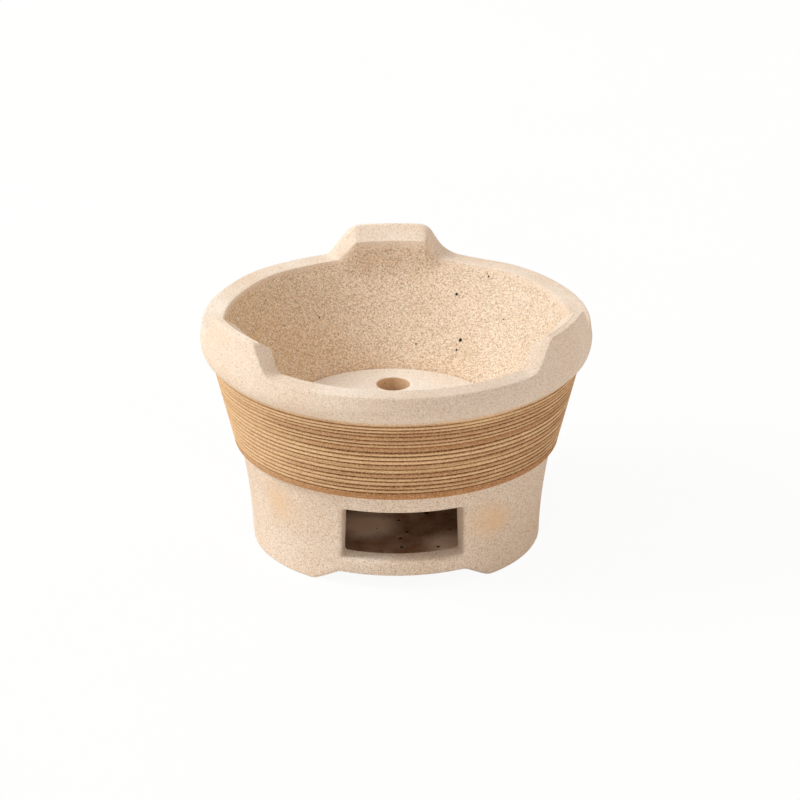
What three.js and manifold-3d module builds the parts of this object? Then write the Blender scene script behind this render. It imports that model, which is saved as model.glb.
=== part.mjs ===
// Small charcoal stove of pale, coarse fired clay: a one-piece body and a loose perforated grate plate.
// Millimetres, +Z up. The origin is on the floor under the middle of the stove.
// The draught mouth faces -Y. One pot lug stands at the back, on +Y, and two stand towards the front.

import * as THREE from 'three';
import Module from 'manifold-3d';

const wasm = await Module();
wasm.setup();

// ---------------------------------------------------------------- driving dimensions

// Foot ring and base wall
const footRadius = 65.6;
const footEdge = 1.5; // worn edge where the wall meets the floor
const footRingWidth = 11;
const undersideHeight = 7; // hollow under the base, inside the foot ring
const undersideDraft = 1.5;
const neckHeight = 46.8; // where the base wall ends under the band
const neckRadius = 71.2;
const flarePower = 1.75; // the base wall stands nearly upright, then flares to the neck

// Combed band
const bandProud = 2.9; // the band's lower edge stands out from the neck
const bandLip = 1; // rise of the band's underside from the neck
const bandEdge = 1.6;
const bandHeight = 42.3;
const bandTopRadius = 84.5;
const lowStrip = 0.4; // smooth strip between the lower edge and the first combed line
const highStrip = 1.8; // smooth strip between the last combed line and the rim
const grooveCount = 18;
const grooveDepth = 0.5;

// Rim
const rimOverhang = 4.5; // the rim's widest line stands out from the band's top
const rimUnderHeight = 7.6; // rounded underside, from the band up to the widest line
const rimFaceHeight = 5.9; // from the widest line up to the flat top
const rimLean = 0.11; // the face leans in by this share of its height above the widest line
const rimEdge = 1.4;
const rimWidth = 10.5;
const rimInnerEdge = 0.7;

// Pot lugs, grown out of the rim
const lugHeight = 13.7; // above the rim's flat top
const lugCrestWidth = 35; // along the rim, between the crest's corners
const lugSlope = THREE.MathUtils.degToRad(53.5);
const lugCornerRadius = 5;
const lugFilletRadius = 8;
const lugLand = 3.4; // outer strip of the crest that a pot stands on, edge rounding included
const lugDip = 4.7; // the crest falls this far towards the bowl
const lugLean = 2.2; // the crest's inner edge stands this far inside the rim's
const lugRoot = 6; // a lug's inner face starts this far below the rim's top
const frontLugTurn = THREE.MathUtils.degToRad(118); // from the back lug to each front lug

// Fire bowl, grate seat and ash chamber
const ledgeHeight = 48.4; // upper face of the ledge that carries the grate
const ledgeWidth = 6;
const ledgeLip = 2.4; // thickness of the ledge at its inner edge
const seatClearance = 0.4; // round the grate plate
const restGap = 0.3; // under the grate plate
const seatRim = 0.5; // the bowl starts this far above the grate plate
const chamberRadius = 57;
const chamberHeight = 28; // upright part of the ash chamber's wall
const chamberCove = 2;
const floorThickness = 5.5;

// Draught mouth
const mouthWidth = 55.4; // at the outer wall
const mouthInnerWidth = 51.4;
const mouthHeight = 24.9;
const sillStep = 1.6; // the sill stands above the chamber floor

// Foot arches: three openings in the foot ring
const archCount = 3;
const archFootWidth = 80;
const archTopWidth = 58;
const archHeight = 6.4;

// Grate plate
const plateRadius = 50.2;
const plateThickness = 10;
const plateDraft = 0.8;
const plateEdge = 0.8;
const holeDiameter = 15.4;
const holeCircleRadius = 32;
const ringHoleCount = 6;
const holeEdge = 0.7;

// Facets
const gapStep = THREE.MathUtils.degToRad(6.6); // widest facet of the turned wall
const wallSteps = 5; // up the base wall
const edgeSteps = 2; // round a small edge
const filletSteps = 3; // round a lug's foot
const bellySteps = 4; // round the rim's underside
const holeFacets = 20;
const plateFacets = 60;

// ---------------------------------------------------------------- sizes that follow

const bandBottom = neckHeight + bandLip;
const bandBottomRadius = neckRadius + bandProud;
const bandTop = bandBottom + bandHeight;
const rimRadius = bandTopRadius + rimOverhang;
const rimBelly = bandTop + rimUnderHeight;
const rimTop = rimBelly + rimFaceHeight;
const rimInnerRadius = rimRadius - rimWidth;
const lugMidRadius = rimRadius - rimWidth / 2;

const seatRadius = plateRadius + seatClearance;
const plateBottom = ledgeHeight + restGap;
const bowlBottom = plateBottom + plateThickness + seatRim;
const throatRadius = seatRadius - plateDraft - ledgeWidth;
const floorTop = undersideHeight + floorThickness;
const chamberTop = floorTop + chamberHeight;
const sillHeight = floorTop + sillStep;
const cutMargin = 5; // every cutter runs this far past the wall that it opens

// ---------------------------------------------------------------- helpers

/** Points of an elliptical arc round (cr, cz), from one angle to another, both ends included. */
function arc(cr, cz, a, b, from, to, steps) {
  const points = [];
  for (let i = 0; i <= steps; i += 1) {
    const t = from + ((to - from) * i) / steps;
    points.push([cr + a * Math.cos(t), cz + b * Math.sin(t)]);
  }
  return points;
}

/**
 * Closed solid of revolution whose outline may change with the angle.
 * Each column is { angle, outline }, and every outline starts and ends on the axis.
 */
function turned(columns) {
  const rows = columns[0].outline.length - 2;
  const count = columns.length;
  const positions = [0, 0, columns[0].outline[0][1]];
  for (const { angle, outline } of columns) {
    for (const [r, z] of outline.slice(1, -1)) {
      positions.push(r * Math.cos(angle), r * Math.sin(angle), z);
    }
  }
  positions.push(0, 0, columns[0].outline[rows + 1][1]);
  const last = positions.length / 3 - 1;
  const at = (column, row) => 1 + (column % count) * rows + row;
  const index = [];
  for (let c = 0; c < count; c += 1) {
    index.push(0, at(c + 1, 0), at(c, 0));
    for (let row = 0; row < rows - 1; row += 1) {
      index.push(at(c, row), at(c + 1, row), at(c + 1, row + 1));
      index.push(at(c, row), at(c + 1, row + 1), at(c, row + 1));
    }
    index.push(at(c, rows - 1), at(c + 1, rows - 1), last);
  }
  const geometry = new THREE.BufferGeometry();
  geometry.setAttribute('position', new THREE.Float32BufferAttribute(positions, 3));
  geometry.setIndex(index);
  return geometry;
}

/** The same outline at evenly spaced angles. */
function turnedEvenly(outline, facets) {
  const columns = [];
  for (let i = 0; i < facets; i += 1) {
    columns.push({ angle: (2 * Math.PI * i) / facets, outline });
  }
  return turned(columns);
}

/** Straight bar whose section is a list of [x, y] points, standing along +Z. */
function bar(section, length) {
  const shape = new THREE.Shape(section.map(([x, y]) => new THREE.Vector2(x, y)));
  return new THREE.ExtrudeGeometry(shape, { depth: length, bevelEnabled: false });
}

/** Boolean solid of a closed geometry, with the vertices that share a place joined. */
function solid(geometry) {
  const points = geometry.getAttribute('position');
  const order = geometry.index ? Array.from(geometry.index.array) : [...Array(points.count).keys()];
  const known = new Map();
  const vertices = [];
  const triangles = order.map((i) => {
    const place = [points.getX(i), points.getY(i), points.getZ(i)];
    const key = place.map((v) => v.toFixed(4)).join(' ');
    if (!known.has(key)) {
      known.set(key, vertices.length / 3);
      vertices.push(...place);
    }
    return known.get(key);
  });
  return new wasm.Manifold(new wasm.Mesh({
    numProp: 3,
    vertProperties: new Float32Array(vertices),
    triVerts: new Uint32Array(triangles),
  }));
}

/** Geometry of a boolean solid. */
function geometryOf(body) {
  const { vertProperties, triVerts } = body.getMesh();
  const geometry = new THREE.BufferGeometry();
  geometry.setAttribute('position', new THREE.BufferAttribute(vertProperties, 3));
  geometry.setIndex(new THREE.BufferAttribute(triVerts, 1));
  geometry.computeVertexNormals();
  return geometry;
}

// ---------------------------------------------------------------- outline of the body

/** Underside, foot ring and the flaring base wall, from the axis out and up. */
function baseOutline() {
  const ringInner = footRadius - footRingWidth;
  const points = [
    [0, undersideHeight],
    [ringInner - undersideDraft, undersideHeight],
    [ringInner, 0],
    [footRadius - footEdge, 0],
  ];
  for (let i = 0; i <= wallSteps; i += 1) {
    const z = footEdge + ((neckHeight - footEdge) * i) / wallSteps;
    const flare = Math.pow(z / neckHeight, flarePower);
    points.push([footRadius + (neckRadius - footRadius) * flare, z]);
  }
  return points;
}

/** Combed band: rounded lower edge, then the turned grooves between two smooth strips. */
function bandOutline() {
  const start = [bandBottomRadius, bandBottom + bandEdge];
  const run = [bandTopRadius - start[0], bandTop - start[1]];
  const length = Math.hypot(...run);
  const along = run.map((v) => v / length);
  const place = (t, depth) => [
    start[0] + along[0] * t - along[1] * depth,
    start[1] + along[1] * t + along[0] * depth,
  ];
  const points = arc(start[0] - bandEdge, start[1], bandEdge, bandEdge, -Math.PI / 2, 0, edgeSteps);
  const pitch = (length - lowStrip - highStrip) / grooveCount;
  for (let i = 0; i < grooveCount; i += 1) {
    const t = lowStrip + pitch * i;
    points.push(place(t, 0), place(t + pitch / 2, grooveDepth));
  }
  points.push(place(length - highStrip, 0), [bandTopRadius, bandTop]);
  return points;
}

/** Rim and lug: rounded underside, face, flat top or lug crest, and the edge of the bowl. */
function rimOutline(rise) {
  const crest = rimTop + rise;
  const outer = rimRadius - rimLean * (crest - rimBelly);
  const inner = rimTop + (rise * (lugHeight - lugDip)) / lugHeight;
  const innerRadius = rimInnerRadius - (rise * lugLean) / lugHeight;
  const belly = arc(bandTopRadius, rimBelly, rimOverhang, rimUnderHeight, -Math.PI / 2, 0, bellySteps);
  const edge = arc(outer - rimEdge, crest - rimEdge, rimEdge, rimEdge, 0, Math.PI / 2, edgeSteps);
  return [
    ...belly.slice(1),
    ...edge,
    [outer - lugLand, crest],
    [innerRadius + rimInnerEdge, inner],
    [innerRadius, inner - rimInnerEdge],
  ];
}

/** Fire bowl, grate seat, ledge, ash chamber and its floor, down to the axis. */
function hollowOutline() {
  const bowlRun = (rimInnerRadius - seatRadius) / (rimTop - rimInnerEdge - bowlBottom);
  const rootHeight = rimTop - lugRoot;
  return [
    [seatRadius + bowlRun * (rootHeight - bowlBottom), rootHeight],
    [seatRadius, bowlBottom],
    [seatRadius - plateDraft, ledgeHeight],
    [throatRadius, ledgeHeight],
    [throatRadius, ledgeHeight - ledgeLip],
    [chamberRadius, chamberTop],
    [chamberRadius, floorTop + chamberCove],
    [chamberRadius - chamberCove, floorTop],
    [0, floorTop],
  ];
}

// ---------------------------------------------------------------- lugs round the rim

/** Half of a lug's side view, as [distance along the rim, height], from the crest's middle out. */
function lugSideView() {
  const tangent = Math.tan(lugSlope / 2);
  const corner = lugCrestWidth / 2;
  const crestEnd = corner - lugCornerRadius * tangent;
  const foot = corner + lugHeight / Math.tan(lugSlope) + lugFilletRadius * tangent;
  const upright = Math.PI / 2;
  const round = arc(crestEnd, lugHeight - lugCornerRadius, lugCornerRadius, lugCornerRadius,
    upright, upright - lugSlope, edgeSteps);
  const fillet = arc(foot, lugFilletRadius, lugFilletRadius, lugFilletRadius,
    -upright - lugSlope, -upright, filletSteps);
  return [[0, lugHeight], [crestEnd / 2, lugHeight], ...round, ...fillet];
}

/** Angles round the stove and the height of the rim there, in order. */
function rimStations() {
  const half = lugSideView().map(([along, rise]) => [along / lugMidRadius, rise]);
  const whole = [...half.slice(1).reverse().map(([turn, rise]) => [-turn, rise]), ...half];
  const back = Math.PI / 2;
  const centres = [back, back + frontLugTurn, back - frontLugTurn + 2 * Math.PI];
  const stations = [];
  centres.forEach((centre, i) => {
    whole.forEach(([turn, rise]) => stations.push({ angle: centre + turn, rise }));
    const from = centre + whole[whole.length - 1][0];
    const next = i + 1 < centres.length ? centres[i + 1] : centres[0] + 2 * Math.PI;
    const span = next + whole[0][0] - from;
    const spans = 2 * Math.ceil(span / gapStep / 2);
    for (let k = 1; k < spans; k += 1) {
      stations.push({ angle: from + (span * k) / spans, rise: 0 });
    }
  });
  return stations;
}

// ---------------------------------------------------------------- cutters

/** Draught mouth: wider outside than inside, level sill and lintel, open towards -Y. */
function mouthCutter() {
  const inner = Math.sqrt(chamberRadius ** 2 - (mouthInnerWidth / 2) ** 2) - cutMargin;
  const outer = neckRadius + cutMargin;
  const draft = (mouthWidth - mouthInnerWidth) / 2 / (footRadius - chamberRadius);
  const halfAt = (y) => mouthInnerWidth / 2 + draft * (y - chamberRadius);
  const plan = [
    [-halfAt(outer), -outer],
    [halfAt(outer), -outer],
    [halfAt(inner), -inner],
    [-halfAt(inner), -inner],
  ];
  return solid(bar(plan, mouthHeight).translate(0, 0, sillHeight));
}

/** One foot arch, open towards -Y: a flat top with sloping ends. */
function archCutter() {
  const slope = (archFootWidth - archTopWidth) / 2 / archHeight;
  const low = archFootWidth / 2 + slope * cutMargin;
  const side = [
    [-low, -cutMargin],
    [low, -cutMargin],
    [archTopWidth / 2, archHeight],
    [-archTopWidth / 2, archHeight],
  ];
  const inner = footRadius - footRingWidth - undersideDraft;
  const depth = footRadius + cutMargin - inner * Math.cos(Math.PI / archCount);
  return solid(bar(side, depth).rotateX(Math.PI / 2).translate(0, depth - footRadius - cutMargin, 0));
}

/** One grate hole with both edges eased, standing at the given place. */
function holeCutter(x, y) {
  const r = holeDiameter / 2;
  const outline = [
    [0, -cutMargin],
    [r + holeEdge, -cutMargin],
    [r + holeEdge, 0],
    [r, holeEdge],
    [r, plateThickness - holeEdge],
    [r + holeEdge, plateThickness],
    [r + holeEdge, plateThickness + cutMargin],
    [0, plateThickness + cutMargin],
  ];
  return solid(turnedEvenly(outline, holeFacets).translate(x, y, 0));
}

// ---------------------------------------------------------------- pieces

/** The stove itself, one solid of clay. */
function stoveBody() {
  const lower = [...baseOutline(), ...bandOutline()];
  const hollow = hollowOutline();
  const columns = rimStations().map(({ angle, rise }) => ({
    angle,
    outline: [...lower, ...rimOutline(rise), ...hollow],
  }));
  let body = solid(turned(columns)).subtract(mouthCutter());
  for (let i = 0; i < archCount; i += 1) {
    const turn = (360 * i) / archCount;
    body = body.subtract(archCutter().rotate([0, 0, turn]));
  }
  return geometryOf(body);
}

/** Loose plate with one hole in the middle and a ring of holes, lying on the ledge. */
function gratePlate() {
  const outline = [
    [0, 0],
    [plateRadius - plateDraft - plateEdge, 0],
    [plateRadius - plateDraft, plateEdge],
    [plateRadius, plateThickness - plateEdge],
    [plateRadius - plateEdge, plateThickness],
    [0, plateThickness],
  ];
  let plate = solid(turnedEvenly(outline, plateFacets)).subtract(holeCutter(0, 0));
  for (let i = 0; i < ringHoleCount; i += 1) {
    const turn = Math.PI / 2 + (2 * Math.PI * i) / ringHoleCount;
    plate = plate.subtract(holeCutter(holeCircleRadius * Math.cos(turn), holeCircleRadius * Math.sin(turn)));
  }
  return geometryOf(plate);
}

/** Named mesh in its own material. */
function piece(name, geometry, material) {
  const mesh = new THREE.Mesh(geometry, new THREE.MeshStandardMaterial(material));
  mesh.name = name;
  return mesh;
}

const stove = new THREE.Group();
stove.add(piece('stove_body', stoveBody(), { color: 0xe9d4bd, roughness: 0.95, metalness: 0 }));

const grate = piece('grate_plate', gratePlate(), { color: 0xf0dcc6, roughness: 0.95, metalness: 0 });
grate.position.set(0, 0, plateBottom);
stove.add(grate);

export default stove;
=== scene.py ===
"""Looks of the small fired-clay charcoal stove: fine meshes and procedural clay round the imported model.

The stove's sizes and places are in millimetres and become metres in its meshes and materials. The camera,
the floor and the lamp are in metres. The origin is on the floor under the middle of the stove, +Z up, the
draught mouth towards -Y.
"""

import math
from collections import namedtuple
from itertools import accumulate

import bmesh
import bpy
import numpy as np
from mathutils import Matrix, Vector


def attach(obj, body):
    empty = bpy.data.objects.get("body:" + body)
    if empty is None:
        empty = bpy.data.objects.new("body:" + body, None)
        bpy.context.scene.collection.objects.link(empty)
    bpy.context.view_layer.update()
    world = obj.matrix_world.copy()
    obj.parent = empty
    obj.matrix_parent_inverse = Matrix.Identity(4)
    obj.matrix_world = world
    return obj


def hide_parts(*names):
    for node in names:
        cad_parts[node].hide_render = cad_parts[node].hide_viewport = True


MM = 0.001
TAU = 2 * math.pi

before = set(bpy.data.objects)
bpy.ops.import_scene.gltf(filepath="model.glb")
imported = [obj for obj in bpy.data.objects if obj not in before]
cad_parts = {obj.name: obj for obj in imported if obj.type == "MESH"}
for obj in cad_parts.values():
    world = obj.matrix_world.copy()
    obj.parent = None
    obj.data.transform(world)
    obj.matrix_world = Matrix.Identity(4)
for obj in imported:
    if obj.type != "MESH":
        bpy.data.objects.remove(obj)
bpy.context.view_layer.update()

# ------------------------------------------------------------------ camera, fitted to the photograph

CAMERA_DISTANCE = 2.6276
CAMERA_ELEVATION = math.radians(23.6)
CAMERA_AZIMUTH = math.radians(-2.7)
CAMERA_AIM_HEIGHT = 0.0569
CAMERA_CLIP_END = 50
FOCAL_PIXELS = 5752
PICTURE_PIXELS = 800
AXIS_PIXEL = (396.2, 415.7)  # where the aim point falls in the picture
SENSOR_WIDTH = 36  # millimetres of film


def make_camera():
    """Camera at the photograph's viewing angle."""
    data = bpy.data.cameras.new("camera")
    data.sensor_width = SENSOR_WIDTH
    data.lens = SENSOR_WIDTH * FOCAL_PIXELS / PICTURE_PIXELS
    half = PICTURE_PIXELS / 2
    data.shift_x = (half - AXIS_PIXEL[0]) / PICTURE_PIXELS
    data.shift_y = (AXIS_PIXEL[1] - half) / PICTURE_PIXELS
    data.clip_end = CAMERA_CLIP_END
    camera = bpy.data.objects.new("camera", data)
    level = CAMERA_DISTANCE * math.cos(CAMERA_ELEVATION)
    aim = Vector((0, 0, CAMERA_AIM_HEIGHT))
    camera.location = aim + Vector((
        level * math.sin(CAMERA_AZIMUTH),
        -level * math.cos(CAMERA_AZIMUTH),
        CAMERA_DISTANCE * math.sin(CAMERA_ELEVATION),
    ))
    camera.rotation_euler = (aim - camera.location).to_track_quat("-Z", "Y").to_euler()
    bpy.context.scene.collection.objects.link(camera)
    bpy.context.scene.camera = camera


make_camera()

# ------------------------------------------------------------------ stove sizes, millimetres

FOOT_RADIUS = 65.6
FOOT_EDGE = 1.5
FOOT_RING_WIDTH = 11
UNDERSIDE_HEIGHT = 7
UNDERSIDE_DRAFT = 1.5  # the hollow under the base narrows this much upwards
NECK_HEIGHT = 46.8
NECK_RADIUS = 71.2
FLARE_POWER = 1.75  # the wall stays steep low down and flares near the neck

BAND_PROUD = 2.9  # the band stands this far outside the neck
BAND_LIP = 1  # rise of the step from the neck out to the band
BAND_EDGE = 1.6
BAND_HEIGHT = 42.3
BAND_TOP_RADIUS = 84.5
LOW_STRIP = 0.95  # plain slope under the lines
HIGH_STRIP = 1.65  # plain slope above the lines
# Combed lines: the lowest one's place up the slope, then the steps to the others, as photographed.
GROOVE_START = 2
GROOVE_STEPS = (2.1, 2.05, 2.35, 2.1, 2.4, 2.5, 2.5, 2.25, 2.35, 2.4, 2.75, 1.75, 2.1, 2.4, 1.75, 1.75, 1.9)
GROOVE_DEPTH = 0.5
# Each line lies in a stretch of the slope: places and widths are shares of that, depths of GROOVE_DEPTH.
GROOVE_POINTS = (0.0, 0.12, 0.24, 0.34, 0.43, 0.5, 0.57, 0.66, 0.76, 0.88)
GROOVE_WANDER = 0.05
GROOVE_WIDTH, GROOVE_WIDTH_WANDER = 0.2, 0.03
GROOVE_MEAN_DEPTH, GROOVE_DEPTH_WANDER = 0.85, 0.2
PLACE_SEED, DEPTH_SEED, WIDTH_SEED = 100, 300, 500

RIM_OVERHANG = 4.5
RIM_UNDER_HEIGHT = 7.6
RIM_FACE_HEIGHT = 5.9
RIM_LEAN = 0.11  # the face leans in by this share of its height above the widest line
RIM_EDGE = 0.9
RIM_WIDTH = 10.5
RIM_INNER_EDGE = 0.7
RIM_INNER_BULGE = 0.3  # share of the inner edge that its rounding keeps

LUG_HEIGHT = 13.7
LUG_LAND = 3.4  # width of the crest's level strip
LUG_DIP = 4.7  # the crest falls this far towards the bowl
LUG_LEAN = 2.2  # the crest's inner edge stands this far inside the rim's
LUG_ROOT = 6  # the bowl's wall bends into the lugs this far under the rim's top
CREASE_WIDTH = 0.9
CREASE_DEPTH = 0.45
CREASE_FADE = 6  # power of the lug's height share, so that the crease ends with the crest

LugEnd = namedtuple("LugEnd", "reach slope corner_radius fillet_radius")
# Turn from +Y to each lug's middle, and its two ends in the order of rising angle. Slopes are in degrees.
LUGS = (
    (-0.65, LugEnd(17.3, 60, 6.5, 12), LugEnd(17.3, 52, 6.5, 4)),
    (118, LugEnd(17.6, 53.5, 5, 6), LugEnd(17.75, 57, 4, 8)),
    (-118, LugEnd(17.75, 53, 6, 9), LugEnd(17.6, 53.5, 5, 6)),
)
# A lug's inner edge is crisper than its outer one, and this much steeper and longer.
INNER_CORNER, INNER_FILLET, INNER_STEEPER, INNER_REACH = 2, 3, 6, 0.6
# Hand-made unevenness of the rim's top: angle and half width in degrees, then height.
RIM_BUMPS = ((7, 14, 0.5), (61, 9, -1), (137, 14, 0.8), (162, 7, 0.6))

LEDGE_HEIGHT = 48.4
LEDGE_WIDTH = 6
LEDGE_LIP = 2.4  # height of the ledge's upright edge
SEAT_CLEARANCE = 0.4
REST_GAP = 0.3
SEAT_RIM = 0.5  # the bowl starts this far above the plate
CHAMBER_RADIUS = 57
CHAMBER_HEIGHT = 28
CHAMBER_COVE = 2
FLOOR_THICKNESS = 5.5
SEAT_SHIFT = (-2, 1.2)  # the bowl's lower end and the plate lie this far off the middle

MOUTH_WIDTH = 55.4
MOUTH_INNER_WIDTH = 51.4
MOUTH_HEIGHT = 24.9
MOUTH_CORNER = 1.2
MOUTH_EDGE = 2.2
SILL_STEP = 1.6  # from the ash chamber's floor up to the mouth

ARCH_COUNT = 3
ARCH_FOOT_WIDTH = 80
ARCH_TOP_WIDTH = 58
ARCH_HEIGHT = 6.4
ARCH_CORNER_RADIUS = 7

PLATE_RADIUS = 50.2
PLATE_THICKNESS = 10
PLATE_DRAFT = 0.8  # the plate is this much narrower underneath
PLATE_EDGE = 0.8
HOLE_DIAMETER = 15.4
HOLE_CIRCLE_RADIUS = 32
PLATE_TURN = math.radians(-4)
RING_HOLE_COUNT = 6
HOLE_EDGE = 0.7

BAND_BOTTOM = NECK_HEIGHT + BAND_LIP
BAND_BOTTOM_RADIUS = NECK_RADIUS + BAND_PROUD
BAND_TOP = BAND_BOTTOM + BAND_HEIGHT
RIM_RADIUS = BAND_TOP_RADIUS + RIM_OVERHANG
RIM_BELLY = BAND_TOP + RIM_UNDER_HEIGHT
RIM_TOP = RIM_BELLY + RIM_FACE_HEIGHT
RIM_INNER_RADIUS = RIM_RADIUS - RIM_WIDTH
LUG_MID_RADIUS = RIM_RADIUS - RIM_WIDTH / 2
SEAT_RADIUS = PLATE_RADIUS + SEAT_CLEARANCE
PLATE_BOTTOM = LEDGE_HEIGHT + REST_GAP
PLATE_TOP = PLATE_BOTTOM + PLATE_THICKNESS
BOWL_BOTTOM = PLATE_TOP + SEAT_RIM
THROAT_RADIUS = SEAT_RADIUS - PLATE_DRAFT - LEDGE_WIDTH
FLOOR_TOP = UNDERSIDE_HEIGHT + FLOOR_THICKNESS
CHAMBER_TOP = FLOOR_TOP + CHAMBER_HEIGHT
SILL_HEIGHT = FLOOR_TOP + SILL_STEP

CUTTER_MARGIN = 5

# Mesh fineness: columns round each turned piece, and steps along the stretches of its outline.
COLUMNS = 600
PLATE_COLUMNS = 240
HOLE_COLUMNS = 64
GROUND_COLUMNS = 96
WALL_STEPS = 24
BOWL_STEPS = 12
BELLY_STEPS = 10
LIP_STEPS = 6
EDGE_STEPS = 5
SHORT_STEPS = 4
MOUTH_STEPS = 14
MOUTH_CORNER_STEPS = 3
SMOOTH_ANGLE = math.radians(38)

# ------------------------------------------------------------------ mesh helpers


def arc(cr, cz, a, b, start, end, steps):
    """Points of an elliptical arc round (cr, cz), both ends included."""
    turns = [start + (end - start) * i / steps for i in range(steps + 1)]
    return [(cr + a * math.cos(t), cz + b * math.sin(t)) for t in turns]


def line(start, end, steps):
    """Evenly spaced points from start to end, both left out."""
    return [tuple(s + (e - s) * i / steps for s, e in zip(start, end)) for i in range(1, steps)]


def mesh_object(name, vertices, faces):
    """Mesh object from millimetre vertices, with its faces turned outwards."""
    mesh = bpy.data.meshes.new(name)
    mesh.from_pydata((np.asarray(vertices) * MM).tolist(), [], faces)
    mesh.update()
    work = bmesh.new()
    work.from_mesh(mesh)
    bmesh.ops.recalc_face_normals(work, faces=work.faces)
    work.to_mesh(mesh)
    work.free()
    piece = bpy.data.objects.new(name, mesh)
    bpy.context.scene.collection.objects.link(piece)
    return piece


def turned(name, outlines):
    """Closed solid of revolution from one outline for each evenly spaced angle.

    Every outline starts and ends on the axis and has as many points as the others.
    """
    count, rows = len(outlines), len(outlines[0]) - 2
    vertices = [(0, 0, outlines[0][0][1])]
    for i, outline in enumerate(outlines):
        c, s = math.cos(TAU * i / count), math.sin(TAU * i / count)
        vertices += [(r * c, r * s, z) for r, z in outline[1:-1]]
    vertices.append((0, 0, outlines[0][-1][1]))
    last = len(vertices) - 1
    faces = []
    for i in range(count):
        here, there = 1 + i * rows, 1 + (i + 1) % count * rows
        faces.append((0, there, here))
        faces += [(here + j, there + j, there + j + 1, here + j + 1) for j in range(rows - 1)]
        faces.append((here + rows - 1, there + rows - 1, last))
    return mesh_object(name, vertices, faces)


def cut(piece, cutters):
    """Subtracts the cutters from the piece and deletes them."""
    for cutter in cutters:
        modifier = piece.modifiers.new("cut", "BOOLEAN")
        modifier.operation = "DIFFERENCE"
        modifier.solver = "EXACT"
        modifier.object = cutter
    bpy.context.view_layer.update()
    shaped = piece.evaluated_get(bpy.context.evaluated_depsgraph_get())
    mesh = bpy.data.meshes.new_from_object(shaped)
    piece.modifiers.clear()
    piece.data = mesh
    for cutter in cutters:
        bpy.data.objects.remove(cutter)


def shift(piece, x, y):
    """Moves every vertex sideways by millimetres."""
    for vertex in piece.data.vertices:
        vertex.co += Vector((x, y, 0)) * MM


def smooth(piece):
    """Smooth shading, broken at sharp edges."""
    piece.data.shade_smooth()
    piece.data.set_sharp_from_angle(angle=SMOOTH_ANGLE)


def wave(angle, seed, orders=(1, 2, 3, 5)):
    """Slow periodic wobble round the stove, between about -1 and 1."""
    random = np.random.default_rng(seed)
    phases = random.uniform(0, TAU, len(orders))
    weights = 1 / np.sqrt(np.array(orders))
    return float(np.sum(weights * np.sin(np.array(orders) * angle + phases)) / np.sum(weights))


# ------------------------------------------------------------------ stove body


def trapezoid(along, corner, height, slope, corner_radius, fillet_radius):
    """Height of a flat-topped hump with sloping ends, rounded corners and filleted feet."""
    tangent = math.tan(slope / 2)
    crest_end = corner - corner_radius * tangent
    foot = corner + height / math.tan(slope) + fillet_radius * tangent
    if along <= crest_end:
        return height
    if along <= crest_end + corner_radius * math.sin(slope):
        return height - corner_radius + math.sqrt(corner_radius**2 - (along - crest_end) ** 2)
    if along <= foot - fillet_radius * math.sin(slope):
        return height - (along - corner) * math.tan(slope)
    if along <= foot:
        return fillet_radius - math.sqrt(fillet_radius**2 - (foot - along) ** 2)
    return 0.0


def turn_from(angle, centre):
    """Signed turn from the centre to the angle, at most half a circle either way."""
    return (angle - centre + math.pi) % TAU - math.pi


def inner_end(end):
    """The same end of a lug along its inner edge."""
    return LugEnd(end.reach + INNER_REACH, end.slope + INNER_STEEPER, INNER_CORNER, INNER_FILLET)


def lug_rise(angle, inner=False):
    """Height of the lugs' outer or inner edge above the rim's flat top at this angle, before the dip."""
    rises = []
    for middle, low_end, high_end in LUGS:
        turn = turn_from(angle, TAU / 4 + math.radians(middle))
        end = high_end if turn > 0 else low_end
        if inner:
            end = inner_end(end)
        along, slope = abs(turn) * LUG_MID_RADIUS, math.radians(end.slope)
        rise = trapezoid(along, end.reach, LUG_HEIGHT, slope, end.corner_radius, end.fillet_radius)
        rises.append(rise)
    return max(rises)


def rim_bump(angle):
    """Unevenness of the rim's top at this angle."""
    rise = 0.0
    for centre, width, height in RIM_BUMPS:
        turn = turn_from(angle, math.radians(centre))
        rise += height * math.exp(-((turn / math.radians(width)) ** 2))
    return rise


def arch_rise(angle, radius):
    """Height of the foot ring's underside at this angle."""
    spacing = TAU / ARCH_COUNT
    turn = turn_from(ARCH_COUNT * (angle + TAU / 4), 0) / ARCH_COUNT
    slope = math.atan(ARCH_HEIGHT / (ARCH_FOOT_WIDTH - ARCH_TOP_WIDTH) * 2)
    along = radius * math.sin(min(abs(turn), spacing / 2))
    radii = (ARCH_CORNER_RADIUS, ARCH_CORNER_RADIUS)
    return trapezoid(along, ARCH_TOP_WIDTH / 2, ARCH_HEIGHT, slope, *radii)


def wall_radius(z):
    """Outer radius of the base wall."""
    return FOOT_RADIUS + (NECK_RADIUS - FOOT_RADIUS) * (z / NECK_HEIGHT) ** FLARE_POWER


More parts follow.
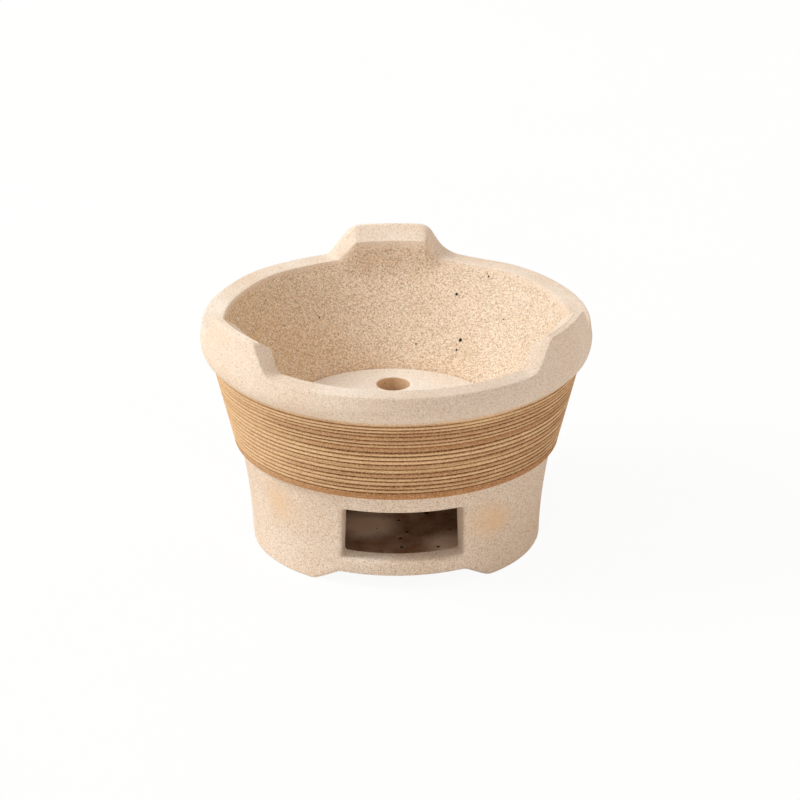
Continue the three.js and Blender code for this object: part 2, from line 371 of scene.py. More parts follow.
def base_outline(angle):
    """Underside, foot ring and flaring wall, from the axis out and up."""
    ring_inner = FOOT_RADIUS - FOOT_RING_WIDTH
    inner_rise = arch_rise(angle, ring_inner)
    start = arch_rise(angle, FOOT_RADIUS) + FOOT_EDGE
    inner_corner = (ring_inner, inner_rise)
    under_corner = (ring_inner - UNDERSIDE_DRAFT, UNDERSIDE_HEIGHT)
    edge = arc(FOOT_RADIUS - FOOT_EDGE, start, FOOT_EDGE, FOOT_EDGE, -TAU / 4, 0, EDGE_STEPS)
    heights = [start + (NECK_HEIGHT - start) * i / WALL_STEPS for i in range(WALL_STEPS + 1)]
    wall = [(wall_radius(z), z) for z in heights]
    return [
        (0, UNDERSIDE_HEIGHT), (ring_inner / 2, UNDERSIDE_HEIGHT), under_corner,
        (ring_inner - UNDERSIDE_DRAFT / 2, (UNDERSIDE_HEIGHT + inner_rise) / 2), inner_corner,
        *line(inner_corner, edge[0], SHORT_STEPS), *edge[:-1], *wall,
    ]


def groove_profile(angle, number, middle):
    """Depth of one combed line across its own stretch of the slope, as (share of the stretch, depth)."""
    middle += GROOVE_WANDER * wave(angle, PLACE_SEED + number)
    depth_share = GROOVE_MEAN_DEPTH + GROOVE_DEPTH_WANDER * wave(angle, DEPTH_SEED + number, (1, 3, 7))
    width = GROOVE_WIDTH + GROOVE_WIDTH_WANDER * wave(angle, WIDTH_SEED + number)
    depth = GROOVE_DEPTH * depth_share
    return [(share, depth * math.exp(-(((share - middle) / width) ** 2))) for share in GROOVE_POINTS]


def band_frame():
    """Start, direction and length of the band's straight slope."""
    start = np.array([BAND_BOTTOM_RADIUS, BAND_BOTTOM + BAND_EDGE])
    run = np.array([BAND_TOP_RADIUS, BAND_TOP]) - start
    length = float(np.hypot(*run))
    return start, run / length, length


def band_outline(angle):
    """Combed band: rounded lower edge, plain strip, then the turned grooves."""
    start, along, length = band_frame()
    inward = np.array([-along[1], along[0]])
    points = arc(start[0] - BAND_EDGE, start[1], BAND_EDGE, BAND_EDGE, -TAU / 4, 0, LIP_STEPS)
    middles = list(accumulate((GROOVE_START, *GROOVE_STEPS)))
    borders = [LOW_STRIP, *((a + b) / 2 for a, b in zip(middles, middles[1:])), length - HIGH_STRIP]
    for number, (middle, low, high) in enumerate(zip(middles, borders, borders[1:])):
        for share, depth in groove_profile(angle, number, (middle - low) / (high - low)):
            t = low + (high - low) * share
            points.append(tuple(start + along * t + inward * depth))
    return [*points, tuple(start + along * (length - HIGH_STRIP)), (BAND_TOP_RADIUS, BAND_TOP)]


def rim_outline(angle):
    """Rounded underside, face, flat top or lug crest with its crease, and the upper edge of the bowl."""
    rise = lug_rise(angle)
    share = rise / LUG_HEIGHT
    crest = RIM_TOP + rise + rim_bump(angle) * (1 - share)
    outer = RIM_RADIUS - RIM_LEAN * (crest - RIM_BELLY)
    inner_share = lug_rise(angle, inner=True) / LUG_HEIGHT
    inner = RIM_TOP + (LUG_HEIGHT - LUG_DIP) * inner_share + rim_bump(angle) * (1 - inner_share)
    inner_radius = RIM_INNER_RADIUS - LUG_LEAN * inner_share
    belly = arc(BAND_TOP_RADIUS, RIM_BELLY, RIM_OVERHANG, RIM_UNDER_HEIGHT, -TAU / 4, 0, BELLY_STEPS)[1:]
    edge = arc(outer - RIM_EDGE, crest - RIM_EDGE, RIM_EDGE, RIM_EDGE, 0, TAU / 4, EDGE_STEPS)
    land = outer - LUG_LAND
    crease = CREASE_DEPTH * share**CREASE_FADE
    lip = (inner_radius + RIM_INNER_EDGE, inner)
    bulge = RIM_INNER_EDGE * RIM_INNER_BULGE
    return [
        *belly, *line(belly[-1], edge[0], EDGE_STEPS), *edge,
        (land + CREASE_WIDTH, crest), (land + CREASE_WIDTH / 2, crest - crease), (land, crest - crease),
        (land - CREASE_WIDTH / 2, crest - crease / 2), *line((land, crest), lip, EDGE_STEPS), lip,
        (inner_radius + bulge, inner - bulge), (inner_radius, inner - RIM_INNER_EDGE),
    ]


def hollow_outline(angle, rim_end):
    """Fire bowl, grate seat, ledge, ash chamber and its floor, down to the axis."""
    off_middle = SEAT_SHIFT[0] * math.cos(angle) + SEAT_SHIFT[1] * math.sin(angle)
    seat_radius, throat_radius = SEAT_RADIUS + off_middle, THROAT_RADIUS + off_middle
    run = (RIM_INNER_RADIUS - seat_radius) / (RIM_TOP - RIM_INNER_EDGE - BOWL_BOTTOM)
    root_height = RIM_TOP - LUG_ROOT
    root = (seat_radius + run * (root_height - BOWL_BOTTOM), root_height)
    seat = (seat_radius, BOWL_BOTTOM)
    throat = (throat_radius, LEDGE_HEIGHT - LEDGE_LIP)
    chamber = (CHAMBER_RADIUS, CHAMBER_TOP)
    cove_radius, cove_height = CHAMBER_RADIUS - CHAMBER_COVE, FLOOR_TOP + CHAMBER_COVE
    cove = arc(cove_radius, cove_height, CHAMBER_COVE, CHAMBER_COVE, 0, -TAU / 4, SHORT_STEPS)
    return [
        *line(rim_end, root, SHORT_STEPS), root, *line(root, seat, BOWL_STEPS), seat,
        (seat_radius - PLATE_DRAFT, LEDGE_HEIGHT), (throat_radius, LEDGE_HEIGHT), throat,
        *line(throat, chamber, SHORT_STEPS), chamber, *line(chamber, cove[0], BOWL_STEPS), *cove,
        (CHAMBER_RADIUS / 2, FLOOR_TOP), (0, FLOOR_TOP),
    ]


def mouth_section():
    """Rounded rectangle of the draught mouth, as (share of the half width, z, outward x, outward z).

    It runs from the right over the top to the left, then back along the bottom.
    """
    low, high = SILL_HEIGHT + MOUTH_CORNER, SILL_HEIGHT + MOUTH_HEIGHT - MOUTH_CORNER
    turns = [TAU / 4 * step / MOUTH_CORNER_STEPS for step in range(MOUTH_CORNER_STEPS + 1)]
    upper = [(1, high, math.cos(t), math.sin(t)) for t in turns]
    upper += [(share, high, 0, 1) for (share,) in line((1,), (-1,), MOUTH_STEPS)]
    upper += [(-1, high, -math.sin(t), math.cos(t)) for t in turns]
    lower = [(share, low, out_x, -out_z) for share, _, out_x, out_z in reversed(upper)]
    return upper + lower


def mouth_stations():
    """Sections of the mouth from inside out, as (offset from the wall's surface, how far it is widened)."""
    depth = FOOT_RADIUS - CHAMBER_RADIUS + CUTTER_MARGIN
    stations = [(-depth, 0.0), (-depth / 2, 0.0)]
    for step in range(EDGE_STEPS + 1):
        turn = TAU / 4 * step / EDGE_STEPS
        stations.append((-MOUTH_EDGE * (1 - math.sin(turn)), MOUTH_EDGE * (1 - math.cos(turn))))
    return [*stations, (CUTTER_MARGIN, MOUTH_EDGE)]


def mouth_cutter():
    """Draught mouth with a rounded outer edge, which follows the wall's curve."""
    draft = (MOUTH_WIDTH - MOUTH_INNER_WIDTH) / 2 / (FOOT_RADIUS - CHAMBER_RADIUS)
    section, stations = mouth_section(), mouth_stations()
    ring = len(section)
    vertices, faces = [], []
    for offset, spread in stations:
        half = MOUTH_INNER_WIDTH / 2 + draft * (FOOT_RADIUS + offset - CHAMBER_RADIUS) - MOUTH_CORNER
        for share, level, out_x, out_z in section:
            x = share * half + out_x * (MOUTH_CORNER + spread)
            radius = wall_radius(level) + offset
            vertices.append((x, -math.sqrt(radius**2 - x**2), level + out_z * (MOUTH_CORNER + spread)))
    for k in range(len(stations) - 1):
        for i in range(ring):
            a, b = k * ring + i, k * ring + (i + 1) % ring
            faces.append((a, a + ring, b + ring, b))
    for first in (0, len(vertices) - ring):
        for i in range(ring // 2 - 1):
            faces.append(tuple(first + n for n in (i, i + 1, ring - 2 - i, ring - 1 - i)))
    return mesh_object("mouth_cutter", vertices, faces)


# How the surfaces are told apart, millimetres.
MARK_SLACK = 0.05
BAND_MARK_BELOW = 0.3  # under the band's lower edge
BAND_MARK_PROUD = 0.6  # outside the neck
BAND_MARK_DEPTH = 4  # behind the band's slope
GROOVE_MARK_START = 0.2  # up the band's slope
BOWL_MARK_BELOW = 0.1  # under the bowl's lower end


def mark_surfaces(piece):
    """Stores on each vertex whether it lies in the band, how deep in a groove, and whether in the bowl."""
    start, along, length = band_frame()
    flat = np.empty(len(piece.data.vertices) * 3)
    piece.data.vertices.foreach_get("co", flat)
    x, y, z = flat.reshape(-1, 3).T / MM
    radius = np.hypot(x, y)
    rises = np.array([lug_rise(TAU * i / COLUMNS, inner=True) for i in range(COLUMNS)])
    column = np.round(np.arctan2(y, x) / TAU * COLUMNS).astype(int) % COLUMNS
    lip_radius = RIM_INNER_RADIUS - LUG_LEAN * rises[column] / LUG_HEIGHT
    t = (radius - start[0]) * along[0] + (z - start[1]) * along[1]
    depth = (z - start[1]) * along[0] - (radius - start[0]) * along[1]
    band = (z > BAND_BOTTOM - BAND_MARK_BELOW) & (t < length - MARK_SLACK)
    band &= (depth < BAND_MARK_DEPTH) & (radius > NECK_RADIUS + BAND_MARK_PROUD)
    bowl = (radius < lip_radius - MARK_SLACK) & (z > BOWL_BOTTOM - BOWL_MARK_BELOW) & ~band
    groove = np.clip(depth / GROOVE_DEPTH, 0, 1) * (t > GROOVE_MARK_START)
    for name, share in (("band", band), ("groove", groove), ("bowl", bowl)):
        attribute = piece.data.attributes.new(name, "FLOAT", "POINT")
        attribute.data.foreach_set("value", share.astype(float))


def make_body():
    """The whole clay body as one mesh."""
    outlines = []
    for i in range(COLUMNS):
        angle = TAU * i / COLUMNS
        base, band, rim = base_outline(angle), band_outline(angle), rim_outline(angle)
        outlines.append([*base, *band, *rim, *hollow_outline(angle, rim[-1])])
    body = turned("stove_clay", outlines)
    cut(body, [mouth_cutter()])
    mark_surfaces(body)
    smooth(body)
    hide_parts("stove_body")
    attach(body, "stove")
    return body


# ------------------------------------------------------------------ grate plate


def hole_cutter(x, y):
    """One grate hole with both edges rounded."""
    radius = HOLE_DIAMETER / 2
    outer = radius + HOLE_EDGE
    low = arc(outer, PLATE_BOTTOM + HOLE_EDGE, HOLE_EDGE, HOLE_EDGE, -TAU / 4, -TAU / 2, SHORT_STEPS)
    high = arc(outer, PLATE_TOP - HOLE_EDGE, HOLE_EDGE, HOLE_EDGE, TAU / 2, TAU / 4, SHORT_STEPS)
    bottom, top = PLATE_BOTTOM - CUTTER_MARGIN, PLATE_TOP + CUTTER_MARGIN
    outline = [(0, bottom), (outer, bottom), *low, *high, (outer, top), (0, top)]
    cutter = turned("hole_cutter", [outline] * HOLE_COLUMNS)
    shift(cutter, x, y)
    return cutter


def make_plate():
    """Loose clay plate with its holes."""
    low_radius = PLATE_RADIUS - PLATE_DRAFT - PLATE_EDGE
    low = arc(low_radius, PLATE_BOTTOM + PLATE_EDGE, PLATE_EDGE, PLATE_EDGE, -TAU / 4, 0, SHORT_STEPS)
    high_radius = PLATE_RADIUS - PLATE_EDGE
    high = arc(high_radius, PLATE_TOP - PLATE_EDGE, PLATE_EDGE, PLATE_EDGE, 0, TAU / 4, SHORT_STEPS)
    side = line(low[-1], high[0], SHORT_STEPS)
    outline = [(0, PLATE_BOTTOM), *low, *side, *high, (0, PLATE_TOP)]
    plate = turned("grate_clay", [outline] * PLATE_COLUMNS)
    places = [(0, 0)]
    for i in range(RING_HOLE_COUNT):
        turn = TAU / 4 + PLATE_TURN + TAU * i / RING_HOLE_COUNT
        places.append((HOLE_CIRCLE_RADIUS * math.cos(turn), HOLE_CIRCLE_RADIUS * math.sin(turn)))
    cut(plate, [hole_cutter(x, y) for x, y in places])
    shift(plate, *SEAT_SHIFT)
    smooth(plate)
    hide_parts("grate_plate")
    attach(plate, "grate")
    return plate


# ------------------------------------------------------------------ material tools

EVEN = (1, 1, 1)
CLAY_ROUGHNESS = 0.95
CLAY_SPECULAR = 0.2
SMALLEST_SPECK = 0.4  # share of the largest one's size

Spot = namedtuple("Spot", "centre reach")  # millimetres
Specks = namedtuple("Specks", "scale share size stretch")


def linear(red, green, blue):
    """Shader colour from screen values of 0 to 255."""
    def channel(value):
        v = value / 255
        return v / 12.92 if v <= 0.04045 else ((v + 0.055) / 1.055) ** 2.4
    return (channel(red), channel(green), channel(blue), 1)


class Shader:
    """Small builder for a material's nodes."""

    def __init__(self, name):
        self.material = bpy.data.materials.new(name)
        self.material.use_nodes = True
        self.tree = self.material.node_tree
        self.tree.nodes.clear()
        self.coordinates = self.add("ShaderNodeTexCoord").outputs["Object"]

    def add(self, kind, sockets=None, **settings):
        """New node with its settings. A socket's value is a constant or another node's output."""
        node = self.tree.nodes.new(kind)
        for key, value in settings.items():
            setattr(node, key, value)
        for key, value in (sockets or {}).items():
            if isinstance(value, bpy.types.NodeSocket):
                self.tree.links.new(value, node.inputs[key])
            else:
                node.inputs[key].default_value = value
        return node

    def math(self, operation, a, b=0.0, clamp=False):
        """Sum, product or comparison of two values."""
        return self.add("ShaderNodeMath", {0: a, 1: b}, operation=operation, use_clamp=clamp).outputs[0]

    def times(self, a, b):
        """Product of two values."""
        return self.math("MULTIPLY", a, b)

    def ramp(self, value, low, high, to_low=0.0, to_high=1.0):
        """Smooth step of a value from one range to another."""
        ranges = {"From Min": low, "From Max": high, "To Min": to_low, "To Max": to_high}
        sockets = {"Value": value, **ranges}
        return self.add("ShaderNodeMapRange", sockets, interpolation_type="SMOOTHSTEP").outputs["Result"]

    def mix(self, factor, a, b, blend="MIX"):
        """Mix of two colours. The node's colour sockets share their names, so they go by number."""
        sockets = {0: factor, 6: a, 7: b}
        return self.add("ShaderNodeMix", sockets, data_type="RGBA", blend_type=blend).outputs[2]

    def attribute(self, name):
        """Value stored on the mesh under this name."""
        return self.add("ShaderNodeAttribute", attribute_name=name).outputs["Fac"]

    def place(self, scale=EVEN):
        """Object coordinates in metres, stretched by the scale."""
        if scale == EVEN:
            return self.coordinates
        sockets = {"Vector": self.coordinates, "Scale": scale}
        return self.add("ShaderNodeMapping", sockets).outputs["Vector"]

    def radius_and_height(self):
        """Distance from the stove's axis and height above the floor, in metres."""
        x, y, z = self.add("ShaderNodeSeparateXYZ", {"Vector": self.place()}).outputs
        return self.math("SQRT", self.math("ADD", self.times(x, x), self.times(y, y))), z

    def near(self, spot):
        """1 at the spot's centre, falling smoothly to 0 at its reach."""
        sockets = {0: self.place(), 1: tuple(v * MM for v in spot.centre)}
        away = self.add("ShaderNodeVectorMath", sockets, operation="DISTANCE").outputs["Value"]
        return self.ramp(away, 0, spot.reach * MM, 1.0, 0.0)

    def upward(self):
        """How far the surface faces up: 1 for level ground, 0 for a wall."""
        normal = self.add("ShaderNodeNewGeometry").outputs["Normal"]
        return self.add("ShaderNodeSeparateXYZ", {"Vector": normal}).outputs["Z"]

    def noise(self, scale, detail=2.0, roughness=0.5, stretch=EVEN):
        """Cloudy noise between 0 and 1."""
        sockets = {"Vector": self.place(stretch), "Scale": scale, "Detail": detail, "Roughness": roughness}
        return self.add("ShaderNodeTexNoise", sockets).outputs["Fac"]

    def cells(self, scale, stretch=EVEN):
        """Small cells: two random tones for each, and the distance from its middle."""
        node = self.add("ShaderNodeTexVoronoi", {"Vector": self.place(stretch), "Scale": scale})
        tones = self.add("ShaderNodeSeparateColor", {"Color": node.outputs["Color"]}).outputs
        return tones["Red"], tones["Green"], node.outputs["Distance"]

    def specks(self, kind):
        """1 inside a speck, in the kind's share of the cells. Some are smaller."""
        pick, width, distance = self.cells(kind.scale, kind.stretch)
        chosen = self.math("LESS_THAN", pick, kind.share)
        reach = self.ramp(width, 0, 1, kind.size * SMALLEST_SPECK, kind.size)
        return self.times(chosen, self.math("LESS_THAN", distance, reach))

    def finish(self, color, height, relief):
        """Matt surface with a bump of the given relief in metres."""
        bump = self.add("ShaderNodeBump", {"Height": height, "Distance": relief})
        sockets = {"Base Color": color, "Roughness": CLAY_ROUGHNESS, "Normal": bump.outputs["Normal"],
                   "Specular IOR Level": CLAY_SPECULAR}
        return self.output(self.add("ShaderNodeBsdfPrincipled", sockets).outputs["BSDF"])

    def output(self, surface):
        """The material, with this surface."""
        self.add("ShaderNodeOutputMaterial", {"Surface": surface})
        return self.material


# ------------------------------------------------------------------ clay

CLAY_PALE = linear(244, 224, 204)
CLAY_TAN = linear(238, 214, 190)
CLAY_SCORCH = linear(240, 200, 154)
# Greyer painted shade on the front right of the rim and band.
CLAY_PAINTED_SHADE = linear(224, 204, 186)
# Level tops are painted paler: painted light from above.
TOP_PAINTED_LIGHT = linear(254, 240, 224)
BOWL_PALE = linear(246, 222, 196)
BOWL_TAN = linear(240, 212, 180)
# Warmer, darker painted shade on the bowl's left inside, the side away from the lamp.
BOWL_PAINTED_SHADE = linear(225, 187, 137)
# The grate's clay is paler than the body's, partly as painted light on the level plate.
GRATE_PALE = linear(254, 244, 232)
GRATE_TAN = linear(250, 235, 219)
# Painted shade, multiplied in on the sides of the grate's holes.
HOLE_PAINTED_SHADE = linear(242, 216, 184)
GRAIN_DARK = linear(150, 118, 88)
GRAIN_LIGHT = linear(255, 250, 240)
PIT_BROWN = linear(118, 88, 62)
SPECK_BLACK = linear(42, 34, 32)

CLOUD_SCALE, CLOUD_RANGE = 28, (0.3, 0.7)
SCORCH_SCALE, SCORCH_RANGE = 19, (0.6, 0.78)
BODY_SCORCH_SHARE, GRATE_SCORCH_SHARE = 0.4, 0.2
PITS = Specks(900, 0.04, 0.4, EVEN)
PIT_SHARE = 0.4
BLACK_SPECKS = Specks(75, 0.06, 0.055, (1.6, 1.6, 0.7))

SAND_SCALE = 3100
SAND_MEAN = 0.5
RIM_SAND, BASE_SAND, BOWL_SAND, GRATE_SAND = 0.36, 0.54, 0.78, 0.36
LUMP_SCALE = 260
SKIN_RELIEF = 0.00005

# From how level the surface is to how much painted light a top gets, and how much painted shade a hole's
# side gets.
TOP_LIGHT_RANGE = (0.7, 0.98)
HOLE_SHADE_RANGE = (0.7, 0.2)
HOLE_SHADE_RADIUS = 45  # millimetres from the axis: past the holes, inside the plate's edge

# Centre and reach of the painted shade inside the bowl.
BOWL_SHADE_SPOT = Spot((-62, 10, 82), 95)
# Painted shade on the front right, the side away from the lamp.
RIGHT_SHADE_SPOT = Spot((38, -80, 88), 95)
RIGHT_SHADE_SHARE = 0.75
# Faint orange blotches on the base and black chips on the bowl's wall, as in the photograph.
BLOTCHES = (Spot((-55, -41, 34), 15), Spot((38, -57, 30), 16), Spot((44, -52, 27), 10))
BLOTCH_SHARE = 0.5
CHIPS = (
    Spot((31.1, 63.2, 90.3), 0.8), Spot((32.2, 49.8, 72.8), 1.0), Spot((11.7, 55.6, 68.9), 0.75),
    Spot((51.9, 43.1, 85.5), 0.6), Spot((30.3, 47.9, 68.6), 0.65), Spot((45.8, 61.3, 99.7), 0.6),
)
CHIP_EDGE = 0.05


def sand_tone(shader):
    """Random tone of each grain of sand, about a third of a millimetre wide."""
    return shader.cells(SAND_SCALE)[0]


def sanded(shader, color, sand, dark, light, strength):
    """The colour with dark and light grains."""
    darker = shader.times(shader.ramp(sand, SAND_MEAN, 0.0), strength)
    lighter = shader.times(shader.ramp(sand, SAND_MEAN, 1.0), strength)
    return shader.mix(lighter, shader.mix(darker, color, dark), light)


def clay_colour(shader, sand, pale, tan, scorch_and_shade, strength):
    """Sandy clay: slow tone changes, fine light and dark grains, brown pits and a few black specks."""
    cloud = shader.ramp(shader.noise(CLOUD_SCALE, 3), *CLOUD_RANGE)
    color = shader.mix(cloud, pale, tan)
    blotch = shader.times(shader.ramp(shader.noise(SCORCH_SCALE), *SCORCH_RANGE), scorch_and_shade)
    color = shader.mix(blotch, color, CLAY_SCORCH)
    color = sanded(shader, color, sand, GRAIN_DARK, GRAIN_LIGHT, strength)
    color = shader.mix(shader.times(shader.specks(PITS), PIT_SHARE), color, PIT_BROWN)
    return shader.mix(shader.specks(BLACK_SPECKS), color, SPECK_BLACK)


def clay_height(shader, sand):
    """Bump height of the sandy skin."""
    return shader.math("ADD", sand, shader.noise(LUMP_SCALE))


def grate_material():
    """Pale clay, paler in part as painted light on the level plate, with warmer painted shade down the
    holes' sides.
    """
    shader = Shader("grate_clay_skin")
    sand = sand_tone(shader)
    color = clay_colour(shader, sand, GRATE_PALE, GRATE_TAN, GRATE_SCORCH_SHARE, GRATE_SAND)
    radius, _ = shader.radius_and_height()
    inside = shader.math("LESS_THAN", radius, HOLE_SHADE_RADIUS * MM)
    # Painted shade on the holes' sides.
    hole_shade = shader.times(shader.ramp(shader.upward(), *HOLE_SHADE_RANGE), inside)
    color = shader.mix(hole_shade, color, shader.mix(1.0, color, HOLE_PAINTED_SHADE, "MULTIPLY"))
    return shader.finish(color, clay_height(shader, sand), SKIN_RELIEF)


# ------------------------------------------------------------------ stained band

# Cream of the ridges' painted highlight, also used for the thinner stain on the left.
BAND_CREAM = linear(238, 200, 156)
BAND_RIDGE = linear(214, 167, 118)
BAND_BROWN = linear(178, 126, 82)
BAND_DARK = linear(104, 60, 32)
BAND_STRIP = linear(184, 130, 84)
BAND_GRAIN_DARK = linear(110, 70, 42)
BAND_GRAIN_LIGHT = linear(248, 214, 168)
BAND_SAND = 0.42
STRIP_WIDTH = 2  # millimetres of plain stain above the rounded lower edge

RING_STRETCH, RING_ROUGHNESS, RING_WEIGHT = (5, 5, 480), 0.6, 0.7
PATCH_STRETCH, PATCH_WEIGHT = (40, 40, 160), 0.3
STAIN_RANGE = (0.4, 0.62)
CREST_MOST_BROWN = 0.7  # the most brown that a ridge's crest takes; the rest stays cream as a painted highlight
FLANK_RANGE = (0, 0.35)
LINE_RANGE = (0.3, 0.8)
# The stain is thinner on the band's left.
THIN_STAIN = Spot((-72, -30, 72), 75)
THIN_STAIN_DROP = 0.14
THIN_STAIN_SHARE = 0.4
# Two lines run together in a brown streak on the right: half its width where it is full and where it ends.
STREAK = Spot((38, -70, 76), 90)
STREAK_FULL, STREAK_END, STREAK_SHARE = 0.6, 1.6, 0.8


def stain_tone(shader, thin):
    """How brown the stain is: rings, patches and the thinner place."""
    rings = shader.noise(1, roughness=RING_ROUGHNESS, stretch=RING_STRETCH)
    patches = shader.noise(1, stretch=PATCH_STRETCH)
    tone = shader.math("ADD", shader.times(rings, RING_WEIGHT), shader.times(patches, PATCH_WEIGHT))
    return shader.math("SUBTRACT", tone, shader.times(thin, THIN_STAIN_DROP))


def streak_share(shader, height):
    """1 in the middle of the brown streak, 0 outside it."""
    away = shader.math("ABSOLUTE", shader.math("SUBTRACT", height, STREAK.centre[2] * MM))
    level = shader.ramp(away, STREAK_FULL * MM, STREAK_END * MM, STREAK_SHARE, 0)
    return shader.times(level, shader.near(STREAK))


def band_colour(shader, sand, height):
    """Brown-stained combed clay: ridges with a cream painted highlight, dark grooves and a plain strip
    along the lower edge.
    """
    groove = shader.attribute("groove")
    thin = shader.near(THIN_STAIN)
    tone = stain_tone(shader, thin)
    # The crests' cream is a painted highlight, where the ridges catch the light.
    crest = shader.mix(shader.ramp(tone, *STAIN_RANGE, 0, CREST_MOST_BROWN), BAND_CREAM, BAND_BROWN)
    flank = shader.mix(shader.ramp(tone, *STAIN_RANGE), BAND_RIDGE, BAND_BROWN)
    color = shader.mix(shader.ramp(groove, *FLANK_RANGE), crest, flank)
    strip_top = (BAND_BOTTOM + BAND_EDGE + STRIP_WIDTH) * MM
    color = shader.mix(shader.math("LESS_THAN", height, strip_top), color, BAND_STRIP)
    color = shader.mix(shader.ramp(groove, *LINE_RANGE), color, BAND_DARK)
    color = shader.mix(shader.times(thin, THIN_STAIN_SHARE), color, BAND_CREAM)
    color = shader.mix(streak_share(shader, height), color, BAND_BROWN)
    return sanded(shader, color, sand, BAND_GRAIN_DARK, BAND_GRAIN_LIGHT, BAND_SAND)


# ------------------------------------------------------------------ ash chamber

# Soot and painted shade: the closed chamber's colour is darkened.
SOOT_AND_SHADE = linear(150, 116, 90)
# Pale painted pools of light on the chamber's floor.
LIGHT_POOL_PALE = linear(250, 222, 196)
SOOT_BLACK = linear(30, 20, 16)
SOOT_AND_SHADE_SCALE = 120
SOOT_AND_SHADE_RANGE = (0.3, 0.7, 0.8, 1.0)
LIGHT_POOL_WIPE = 1.3  # how much soot and painted shade the painted pools of light hide
# Where light falls in through the grate's holes and the mouth, painted as pale pools on the floor.
LIGHT_POOL_SPOTS = (Spot((-15, -22, 13), 21), Spot((23, -44, 13), 18))
CRUMBS = Specks(300, 0.1, 0.3, EVEN)
# The space of the soot and painted shade, millimetres: outside the wall, above the underside and under the
# ledge.
CHAMBER_PAST_WALL, CHAMBER_ABOVE_UNDERSIDE, CHAMBER_BELOW_LEDGE = 0.15, 1, 0.2


def chamber_share(shader, radius, height):
    """1 inside the ash chamber, 0 elsewhere."""
    inside = shader.math("LESS_THAN", radius, (CHAMBER_RADIUS + CHAMBER_PAST_WALL) * MM)
    above = shader.math("GREATER_THAN", height, (UNDERSIDE_HEIGHT + CHAMBER_ABOVE_UNDERSIDE) * MM)
    below = shader.math("LESS_THAN", height, (LEDGE_HEIGHT - CHAMBER_BELOW_LEDGE) * MM)
    return shader.times(inside, shader.times(above, below))


def sooted_and_shaded(shader, color, radius, height):
    """The colour in the ash chamber: patchy soot with painted shade, pale painted pools of light and black
    crumbs.
    """
    chamber = chamber_share(shader, radius, height)
    # ash holds the painted pools of light.
    ash = 0.0
    for spot in LIGHT_POOL_SPOTS:
        ash = shader.math("MAXIMUM", ash, shader.near(spot))
    thick = shader.ramp(shader.noise(SOOT_AND_SHADE_SCALE, 3), *SOOT_AND_SHADE_RANGE)
    left = shader.math("SUBTRACT", thick, shader.times(ash, LIGHT_POOL_WIPE), clamp=True)
    color = shader.mix(shader.times(ash, chamber), color, LIGHT_POOL_PALE)
    color = shader.mix(shader.times(chamber, left), color, shader.mix(1.0, color, SOOT_AND_SHADE, "MULTIPLY"))
    return shader.mix(shader.times(chamber, shader.specks(CRUMBS)), color, SOOT_BLACK)


# ------------------------------------------------------------------ the body's skin


def body_clay(shader, sand, height):
    """Clay of the base, the rim and the coarser bowl, with painted shade on the bowl's left inside and on
    the front right.
    """
    bowl = shader.attribute("bowl")
    base = shader.math("LESS_THAN", height, BAND_BOTTOM * MM)
    strength = shader.math("MAXIMUM", shader.times(base, BASE_SAND), RIM_SAND)
    strength = shader.math("MAXIMUM", shader.times(bowl, BOWL_SAND), strength)
    # Level tops get painted light.
    pale = shader.mix(shader.ramp(shader.upward(), *TOP_LIGHT_RANGE), CLAY_PALE, TOP_PAINTED_LIGHT)
    pale = shader.mix(bowl, pale, BOWL_PALE)
    tan = shader.mix(bowl, CLAY_TAN, BOWL_TAN)
    # Painted shade on the bowl's left inside.
    scorch_and_shade = shader.times(bowl, shader.near(BOWL_SHADE_SPOT))
    # Painted shade on the front right.
    right_shade = shader.times(shader.near(RIGHT_SHADE_SPOT), RIGHT_SHADE_SHARE)
    for share, tint in ((scorch_and_shade, BOWL_PAINTED_SHADE), (right_shade, CLAY_PAINTED_SHADE)):
        pale = shader.mix(share, pale, tint)
        tan = shader.mix(share, tan, tint)
    return clay_colour(shader, sand, pale, tan, BODY_SCORCH_SHARE, strength)


def body_material():
    """Clay with the brown-stained combed band outside, blotches, chips, painted light and shade, and soot,
    painted shade and painted pools of light in the ash chamber.
    """
    shader = Shader("fired_clay_body")
    sand = sand_tone(shader)
    radius, height = shader.radius_and_height()
    clay = body_clay(shader, sand, height)
    for spot in BLOTCHES:
        clay = shader.mix(shader.times(shader.near(spot), BLOTCH_SHARE), clay, CLAY_SCORCH)
    for spot in CHIPS:
        chip = shader.math("GREATER_THAN", shader.near(spot), CHIP_EDGE)
        clay = shader.mix(chip, clay, SPECK_BLACK)
    color = shader.mix(shader.attribute("band"), clay, band_colour(shader, sand, height))
    color = sooted_and_shaded(shader, color, radius, height)
    return shader.finish(color, clay_height(shader, sand), SKIN_RELIEF)


# ------------------------------------------------------------------ floor and light, metres

GROUND_RADIUS = 6.0
GROUND_DEPTH = 0.001
GROUND_TOP = -0.00005  # a hair below the feet
PAPER_DARK = linear(246, 245, 243)
PAPER_LIGHT = linear(252, 251, 249)
PAPER_SCALE, PAPER_RANGE = 9, (0.2, 0.8)
GROUND_GLOW = 0.93  # how much of the floor the camera sees as plain white
WHITE = (1, 1, 1, 1)
WORLD_LIGHT = 0.64
WORLD_TINT = (1.07, 1.0, 0.94, 1)
KEY_POWER = 19.5
KEY_TINT = (0.96, 1.0, 1.0)
KEY_SIZE = 0.7
KEY_PLACE = (-1.38, 0, 1.24)


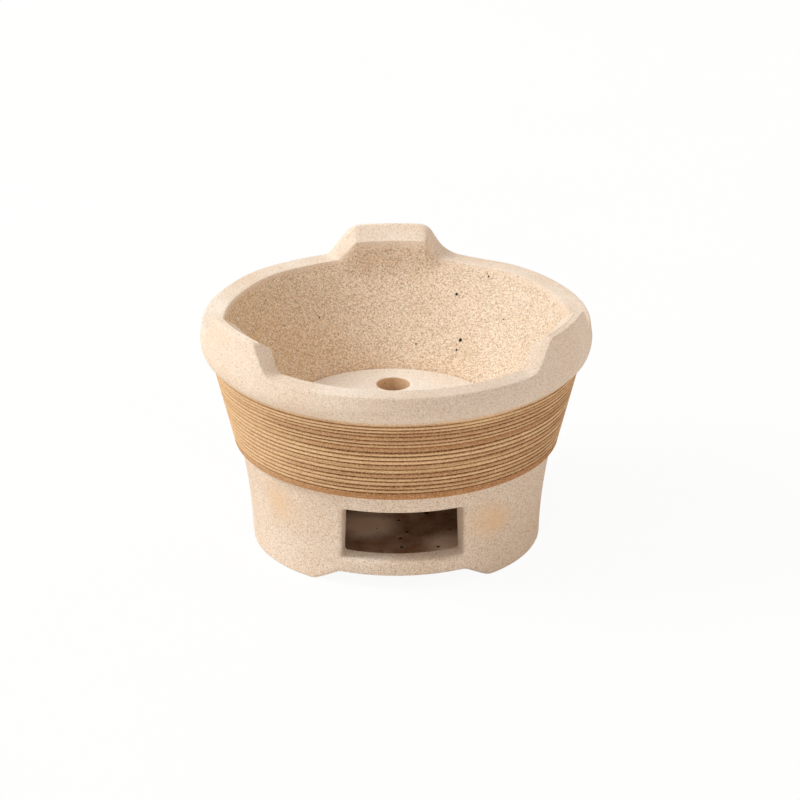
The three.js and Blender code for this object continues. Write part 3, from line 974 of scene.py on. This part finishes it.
def floor_material():
    """White paper floor: it takes the stove's soft shadow and reads as white beside it."""
    shader = Shader("white_floor")
    seen = shader.add("ShaderNodeLightPath").outputs["Is Camera Ray"]
    speckle = shader.ramp(shader.noise(PAPER_SCALE), *PAPER_RANGE)
    paper = shader.mix(speckle, PAPER_DARK, PAPER_LIGHT)
    diffuse = shader.add("ShaderNodeBsdfDiffuse", {"Color": paper, "Roughness": 1.0})
    glow = shader.add("ShaderNodeEmission", {"Color": WHITE, "Strength": 1.0})
    sockets = {0: shader.times(seen, GROUND_GLOW), 1: diffuse.outputs[0], 2: glow.outputs[0]}
    return shader.output(shader.add("ShaderNodeMixShader", sockets).outputs[0])


def make_floor():
    """Wide round floor under the feet."""
    radius, top = GROUND_RADIUS / MM, GROUND_TOP / MM
    bottom = top - GROUND_DEPTH / MM
    floor = turned("floor", [[(0, bottom), (radius, bottom), (radius, top), (0, top)]] * GROUND_COLUMNS)
    floor.data.materials.append(floor_material())


def make_world():
    """Even pale surroundings, seen as white."""
    world = bpy.data.worlds.new("studio")
    world.use_nodes = True
    tree = world.node_tree
    background = tree.nodes["Background"]
    seen = tree.nodes.new("ShaderNodeLightPath").outputs["Is Camera Ray"]
    color = tree.nodes.new("ShaderNodeMix")
    color.data_type = "RGBA"
    color.inputs[6].default_value = WORLD_TINT
    color.inputs[7].default_value = WHITE
    strength = tree.nodes.new("ShaderNodeMapRange")
    strength.inputs["To Min"].default_value = WORLD_LIGHT
    tree.links.new(seen, color.inputs[0])
    tree.links.new(seen, strength.inputs["Value"])
    tree.links.new(color.outputs[2], background.inputs["Color"])
    tree.links.new(strength.outputs["Result"], background.inputs["Strength"])
    bpy.context.scene.world = world


def make_key_light():
    """Large soft lamp at the upper left."""
    data = bpy.data.lights.new("key", "AREA")
    data.shape = "DISK"
    data.size = KEY_SIZE
    data.energy = KEY_POWER
    data.color = KEY_TINT
    lamp = bpy.data.objects.new("key", data)
    lamp.location = KEY_PLACE
    aim = Vector((0, 0, RIM_TOP * MM)) - lamp.location
    lamp.rotation_euler = aim.to_track_quat("-Z", "Y").to_euler()
    bpy.context.scene.collection.objects.link(lamp)


# ------------------------------------------------------------------ the scene

make_floor()
make_world()
make_key_light()
make_body().data.materials.append(body_material())
make_plate().data.materials.append(grate_material())
bpy.context.scene.view_settings.view_transform = "Standard"
